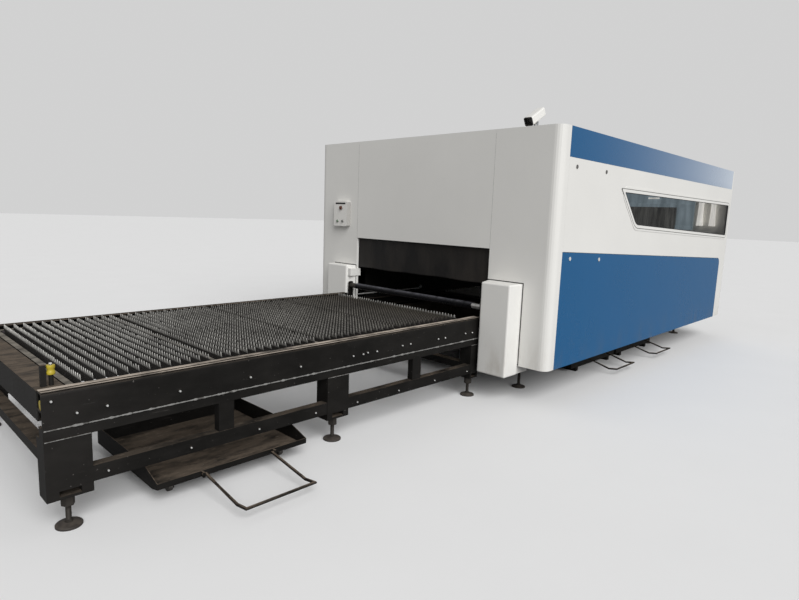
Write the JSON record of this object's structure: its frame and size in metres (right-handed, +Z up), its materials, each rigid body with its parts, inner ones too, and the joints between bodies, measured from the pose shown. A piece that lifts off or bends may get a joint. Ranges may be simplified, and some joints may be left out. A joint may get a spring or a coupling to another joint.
{
  "type": "fiber laser cutting machine",
  "caption": "Enclosed fiber laser cutting machine with an exchange table, toothed slat pallets, a roof camera and pull-out scrap drawers.",
  "frame": {"origin": "middle of the footprint, on the floor", "axes": "+X from the exchange table to the far end of the enclosure, +Y away from the side with the window, +Z up"},
  "size_m": [8.568, 3.094, 2.5769],
  "materials": {
    "white": "satin",
    "blue": "satin",
    "black": "semi-matt, dusty",
    "steel": "dull, oxidised",
    "dark_steel": "dark, oily",
    "grey": "satin",
    "yellow": "matt",
    "red": "matt",
    "green": "matt",
    "glass": "tinted, glossy",
    "curtain": "matt, creased"
  },
  "bodies": {
    "machine": {"blue_band_far": "blue", "blue_band_near": "blue", "blue_panel_far": "blue", "blue_panel_near": "blue", "camera_bracket": "white", "column_cover_far": "white", "column_cover_near": "white", "control_box": "white", "end_panel_far": "white", "end_panel_near": "white", "end_panel_top": "white", "machine_bed": "grey", "opening_curtain": "curtain", "pallet_buffer_far": "yellow", "pallet_buffer_near": "yellow", "rear_panel": "white", "roof_panel": "white", "side_panel_far": "white", "side_panel_near": "white", "table_lower_tie_inner": "black", "table_lower_tie_outer": "black", "table_outer_end_beam": "black", "table_side_frame_far": "black", "table_side_frame_near": "black", "table_side_rail_far": "black", "table_side_rail_near": "black", "table_upper_tie_middle": "black", "window_glass": "glass"},
    "upper_pallet": {"upper_pallet_frame": "black", "slat_rack_1": "steel", "slat_rack_2": "steel", "slat_rack_3": "steel", "slat_rack_4": "steel"},
    "lower_pallet": {"lower_pallet": "black"},
    "scrap_tray": {"scrap_tray": "black"},
    "tray_axle_front": {"scrap_tray_wheels_front": "dark_steel"},
    "tray_axle_rear": {"scrap_tray_wheels_rear": "dark_steel"},
    "tray_handle": {"scrap_tray_handle": "black"},
    "drawer_1": {"scrap_drawer_1": "black"},
    "drawer_2": {"scrap_drawer_2": "black"},
    "handle_1": {"drawer_handle_1": "black"},
    "handle_2": {"drawer_handle_2": "black"},
    "drive_shaft": {"drive_shaft": "dark_steel"},
    "roller_near": {"guide_roller_near": "yellow"},
    "roller_far": {"guide_roller_far": "yellow"},
    "emergency_stop": {"emergency_stop": "red"},
    "button_start": {"button_start": "green"},
    "button_reset": {"button_reset": "grey"},
    "camera": {"roof_camera": "white"},
    "gantry": {"gantry_beam": "blue"},
    "cross_carriage": {"cross_carriage": "dark_steel"},
    "cutting_head": {"cutting_head": "grey"},
    "upper_wheel_near_outer": {"upper_wheel_near_outer": "dark_steel"},
    "upper_wheel_near_inner": {"upper_wheel_near_inner": "dark_steel"},
    "upper_wheel_far_outer": {"upper_wheel_far_outer": "dark_steel"},
    "upper_wheel_far_inner": {"upper_wheel_far_inner": "dark_steel"},
    "lower_wheel_near_outer": {"lower_wheel_near_outer": "dark_steel"},
    "lower_wheel_near_inner": {"lower_wheel_near_inner": "dark_steel"},
    "lower_wheel_far_outer": {"lower_wheel_far_outer": "dark_steel"},
    "lower_wheel_far_inner": {"lower_wheel_far_inner": "dark_steel"}
  },
  "joints": [
    {"name": "upper_pallet_slide", "type": "slide", "parent": "machine", "child": "upper_pallet", "axis": [1, 0, 0], "range_m": [0, 4.85]},
    {"name": "lower_pallet_slide", "type": "slide", "parent": "machine", "child": "lower_pallet", "axis": [1, 0, 0], "range_m": [-4.85, 0]},
    {"name": "upper_wheel_near_outer_roll", "type": "hinge", "parent": "upper_pallet", "child": "upper_wheel_near_outer", "pos_m": [-3.789, -0.879, 0.6583], "axis": [0, 1, 0], "continuous": true},
    {"name": "upper_wheel_near_inner_roll", "type": "hinge", "parent": "upper_pallet", "child": "upper_wheel_near_inner", "pos_m": [-1.329, -0.879, 0.6583], "axis": [0, 1, 0], "continuous": true},
    {"name": "upper_wheel_far_outer_roll", "type": "hinge", "parent": "upper_pallet", "child": "upper_wheel_far_outer", "pos_m": [-3.789, 0.879, 0.6583], "axis": [0, 1, 0], "continuous": true},
    {"name": "upper_wheel_far_inner_roll", "type": "hinge", "parent": "upper_pallet", "child": "upper_wheel_far_inner", "pos_m": [-1.329, 0.879, 0.6583], "axis": [0, 1, 0], "continuous": true},
    {"name": "lower_wheel_near_outer_roll", "type": "hinge", "parent": "lower_pallet", "child": "lower_wheel_near_outer", "pos_m": [1.061, -0.879, 0.5693], "axis": [0, 1, 0], "continuous": true},
    {"name": "lower_wheel_near_inner_roll", "type": "hinge", "parent": "lower_pallet", "child": "lower_wheel_near_inner", "pos_m": [3.521, -0.879, 0.5693], "axis": [0, 1, 0], "continuous": true},
    {"name": "lower_wheel_far_outer_roll", "type": "hinge", "parent": "lower_pallet", "child": "lower_wheel_far_outer", "pos_m": [1.061, 0.879, 0.5693], "axis": [0, 1, 0], "continuous": true},
    {"name": "lower_wheel_far_inner_roll", "type": "hinge", "parent": "lower_pallet", "child": "lower_wheel_far_inner", "pos_m": [3.521, 0.879, 0.5693], "axis": [0, 1, 0], "continuous": true},
    {"name": "drive_shaft_turn", "type": "hinge", "parent": "machine", "child": "drive_shaft", "pos_m": [-0.784, 0, 0.802], "axis": [0, 1, 0], "continuous": true},
    {"name": "roller_near_turn", "type": "hinge", "parent": "machine", "child": "roller_near", "pos_m": [-4.204, -0.808, 0.795], "axis": [0, 0, 1], "continuous": true},
    {"name": "roller_far_turn", "type": "hinge", "parent": "machine", "child": "roller_far", "pos_m": [-4.204, 0.808, 0.795], "axis": [0, 0, 1], "continuous": true},
    {"name": "tray_slide", "type": "slide", "parent": "machine", "child": "scrap_tray", "axis": [0, -1, 0], "range_m": [0, 0.7]},
    {"name": "tray_axle_front_roll", "type": "hinge", "parent": "scrap_tray", "child": "tray_axle_front", "pos_m": [-3.294, -0.86, 0.0346], "axis": [1, 0, 0], "continuous": true},
    {"name": "tray_axle_rear_roll", "type": "hinge", "parent": "scrap_tray", "child": "tray_axle_rear", "pos_m": [-3.294, -0.24, 0.0346], "axis": [1, 0, 0], "continuous": true},
    {"name": "tray_handle_lift", "type": "hinge", "parent": "scrap_tray", "child": "tray_handle", "pos_m": [-3.294, -1.016, 0.111], "axis": [-1, 0, 0], "range_deg": [-5, 80]},
    {"name": "drawer_1_slide", "type": "slide", "parent": "machine", "child": "drawer_1", "axis": [0, -1, 0], "range_m": [0, 1.2]},
    {"name": "handle_1_lift", "type": "hinge", "parent": "drawer_1", "child": "handle_1", "pos_m": [1.071, -1.166, 0.13], "axis": [-1, 0, 0], "range_deg": [-5, 40]},
    {"name": "drawer_2_slide", "type": "slide", "parent": "machine", "child": "drawer_2", "axis": [0, -1, 0], "range_m": [0, 1.2]},
    {"name": "handle_2_lift", "type": "hinge", "parent": "drawer_2", "child": "handle_2", "pos_m": [2.191, -1.166, 0.13], "axis": [-1, 0, 0], "range_deg": [-5, 40]},
    {"name": "emergency_stop_push", "type": "slide", "parent": "machine", "child": "emergency_stop", "axis": [1, 0, 0], "range_m": [0, 0.006]},
    {"name": "button_start_push", "type": "slide", "parent": "machine", "child": "button_start", "axis": [1, 0, 0], "range_m": [0, 0.003], "stiffness_N_per_m": 600, "springref_m": -0.002},
    {"name": "button_reset_push", "type": "slide", "parent": "machine", "child": "button_reset", "axis": [1, 0, 0], "range_m": [0, 0.003], "stiffness_N_per_m": 600, "springref_m": -0.002},
    {"name": "camera_tilt", "type": "hinge", "parent": "machine", "child": "camera", "pos_m": [-0.457, -1.13, 2.441], "axis": [0, 1, 0], "range_deg": [-12, 25]},
    {"name": "gantry_travel", "type": "slide", "parent": "machine", "child": "gantry", "axis": [-1, 0, 0], "range_m": [0, 3.25]},
    {"name": "carriage_travel", "type": "slide", "parent": "gantry", "child": "cross_carriage", "axis": [0, 1, 0], "range_m": [-0.76, 0.76]},
    {"name": "head_height", "type": "slide", "parent": "cross_carriage", "child": "cutting_head", "axis": [0, 0, -1], "range_m": [0, 0.1]}
  ],
  "couplings": [
    {"joint": "lower_pallet_slide", "follows": "upper_pallet_slide", "ratio": -1},
    {"joint": "upper_wheel_near_outer_roll", "follows": "upper_pallet_slide", "rad_per_m": 35.714},
    {"joint": "upper_wheel_near_inner_roll", "follows": "upper_pallet_slide", "rad_per_m": 35.714},
    {"joint": "upper_wheel_far_outer_roll", "follows": "upper_pallet_slide", "rad_per_m": 35.714},
    {"joint": "upper_wheel_far_inner_roll", "follows": "upper_pallet_slide", "rad_per_m": 35.714},
    {"joint": "lower_wheel_near_outer_roll", "follows": "upper_pallet_slide", "rad_per_m": -35.714},
    {"joint": "lower_wheel_near_inner_roll", "follows": "upper_pallet_slide", "rad_per_m": -35.714},
    {"joint": "lower_wheel_far_outer_roll", "follows": "upper_pallet_slide", "rad_per_m": -35.714},
    {"joint": "lower_wheel_far_inner_roll", "follows": "upper_pallet_slide", "rad_per_m": -35.714},
    {"joint": "drive_shaft_turn", "follows": "upper_pallet_slide", "rad_per_m": 16.667},
    {"joint": "tray_axle_front_roll", "follows": "tray_slide", "rad_per_m": 29.412},
    {"joint": "tray_axle_rear_roll", "follows": "tray_slide", "rad_per_m": 29.412}
  ]
}
